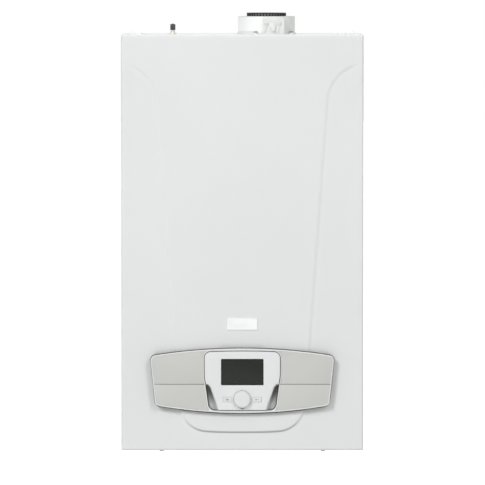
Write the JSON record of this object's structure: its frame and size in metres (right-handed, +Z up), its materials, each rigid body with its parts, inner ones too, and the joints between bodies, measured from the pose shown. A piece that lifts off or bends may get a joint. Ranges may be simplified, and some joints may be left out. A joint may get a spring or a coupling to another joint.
{
  "type": "wall-hung condensing boiler",
  "caption": "White wall-hung condensing combination boiler with a shaped front cover, a pull-out control unit with display and knob, a top flue adaptor and its working parts inside.",
  "frame": {"origin": "on the wall plane, midway between the two fixing holes of the hanging bracket", "axes": "+X to the right as seen from the room, +Y into the wall, +Z up; the front faces -Y"},
  "size_m": [0.45, 0.369, 0.8142],
  "materials": {
    "white_enamel": "satin",
    "zinc_steel": "satin",
    "steel_screw": "satin",
    "foam_seal": "matte",
    "white_plastic": "satin",
    "grey_trim": "matte",
    "badge": "satin",
    "display_glass": "gloss",
    "board": "satin",
    "adaptor_plastic": "satin",
    "black_rubber": "matte",
    "black_plastic": "matte",
    "dark_screw": "satin",
    "flue_alloy": "satin",
    "stainless": "satin",
    "cast_alloy": "matte",
    "ceramic_steel": "satin",
    "copper": "satin",
    "brass": "satin",
    "red_paint": "satin",
    "grey_plastic": "matte",
    "red_plastic": "satin",
    "needle_red": "matte",
    "vent_grey": "matte"
  },
  "bodies": {
    "casing": {"front_frame": "zinc_steel", "left_side_panel": "white_enamel", "right_side_panel": "white_enamel", "top_panel": "white_enamel", "hanging_bracket": "zinc_steel", "back_panel": "zinc_steel", "bottom_plate": "zinc_steel", "pipe_tails": "brass", "flue_adaptor": "adaptor_plastic", "flue_crown": "black_rubber", "sampling_plugs": "adaptor_plastic", "adaptor_screws": "dark_screw", "cover_catches": "zinc_steel", "vent_body": "brass", "flue_riser": "flue_alloy", "exchanger_shell": "grey_plastic", "exchanger_coil": "stainless", "burner_door": "cast_alloy", "burner_tube": "ceramic_steel", "door_nuts": "steel_screw", "ignition_electrodes": "ceramic_steel", "fan_housing": "cast_alloy", "fan_motor": "grey_plastic", "gas_air_mixer": "black_plastic", "gas_valve": "cast_alloy", "gas_pipes": "copper", "expansion_vessel": "red_paint", "condensate_trap": "white_plastic", "condensate_hose": "black_rubber", "diverter_valve": "black_plastic", "diverter_motor": "grey_plastic", "pump_body": "black_plastic", "pump_motor": "red_paint", "return_block": "black_plastic", "heating_pipes": "copper", "plate_exchanger": "stainless", "domestic_pipes": "copper", "relief_valve": "brass", "control_box": "grey_plastic", "main_board": "board", "pressure_gauge": "black_plastic", "control_panel": "white_plastic", "wing_trims": "grey_trim"},
    "cover": {"front_cover": "white_enamel", "cover_screws": "steel_screw", "badge_plate": "badge", "cover_seal": "foam_seal"},
    "control_unit": {"unit_front": "white_plastic", "unit_back": "white_plastic", "unit_board": "board", "display_glass": "display_glass"},
    "selector_spindle": {"knob_spindle": "steel_screw"},
    "selector_knob": {"knob": "white_plastic"},
    "left_button": {"menu_button": "white_plastic"},
    "right_button": {"back_button": "white_plastic"},
    "fan_rotor": {"fan_wheel": "black_plastic"},
    "pump_rotor": {"pump_impeller": "white_plastic"},
    "gauge_pointer": {"gauge_needle": "needle_red"},
    "relief_handwheel": {"relief_knob": "red_plastic"},
    "bleed_cap": {"vent_cap": "vent_grey"}
  },
  "joints": [
    {"name": "cover_lift_off", "type": "slide", "parent": "casing", "child": "cover", "axis": [0, -1, 0], "range_m": [0, 0.35]},
    {"name": "unit_draw_out", "type": "slide", "parent": "casing", "child": "control_unit", "axis": [0, -1, 0], "range_m": [0, 0.045]},
    {"name": "selector_turn", "type": "hinge", "parent": "control_unit", "child": "selector_spindle", "pos_m": [0, -0.355, -0.6037], "axis": [0, -1, 0], "continuous": true},
    {"name": "selector_press", "type": "slide", "parent": "selector_spindle", "child": "selector_knob", "axis": [0, 1, 0], "range_m": [0, 0.0008], "stiffness_N_per_m": 1500},
    {"name": "left_button_press", "type": "slide", "parent": "control_unit", "child": "left_button", "axis": [0, 1, 0], "range_m": [0, 0.0008], "stiffness_N_per_m": 1200},
    {"name": "right_button_press", "type": "slide", "parent": "control_unit", "child": "right_button", "axis": [0, 1, 0], "range_m": [0, 0.0008], "stiffness_N_per_m": 1200},
    {"name": "fan_spin", "type": "hinge", "parent": "casing", "child": "fan_rotor", "pos_m": [0.13, -0.26, -0.305], "axis": [0, -1, 0], "continuous": true},
    {"name": "pump_spin", "type": "hinge", "parent": "casing", "child": "pump_rotor", "pos_m": [0.13, -0.1, -0.53], "axis": [0, -1, 0], "continuous": true},
    {"name": "gauge_swing", "type": "hinge", "parent": "casing", "child": "gauge_pointer", "pos_m": [0.09, -0.288, -0.634], "axis": [0, 0, -1], "range_deg": [0, 270]},
    {"name": "relief_turn", "type": "hinge", "parent": "casing", "child": "relief_handwheel", "pos_m": [0.186, -0.185, -0.604], "axis": [0, -1, 0], "range_deg": [0, 90]},
    {"name": "bleed_cap_turn", "type": "hinge", "parent": "casing", "child": "bleed_cap", "pos_m": [-0.1306, -0.17, 0.085], "axis": [0, 0, 1], "range_deg": [0, 360]}
  ]
}
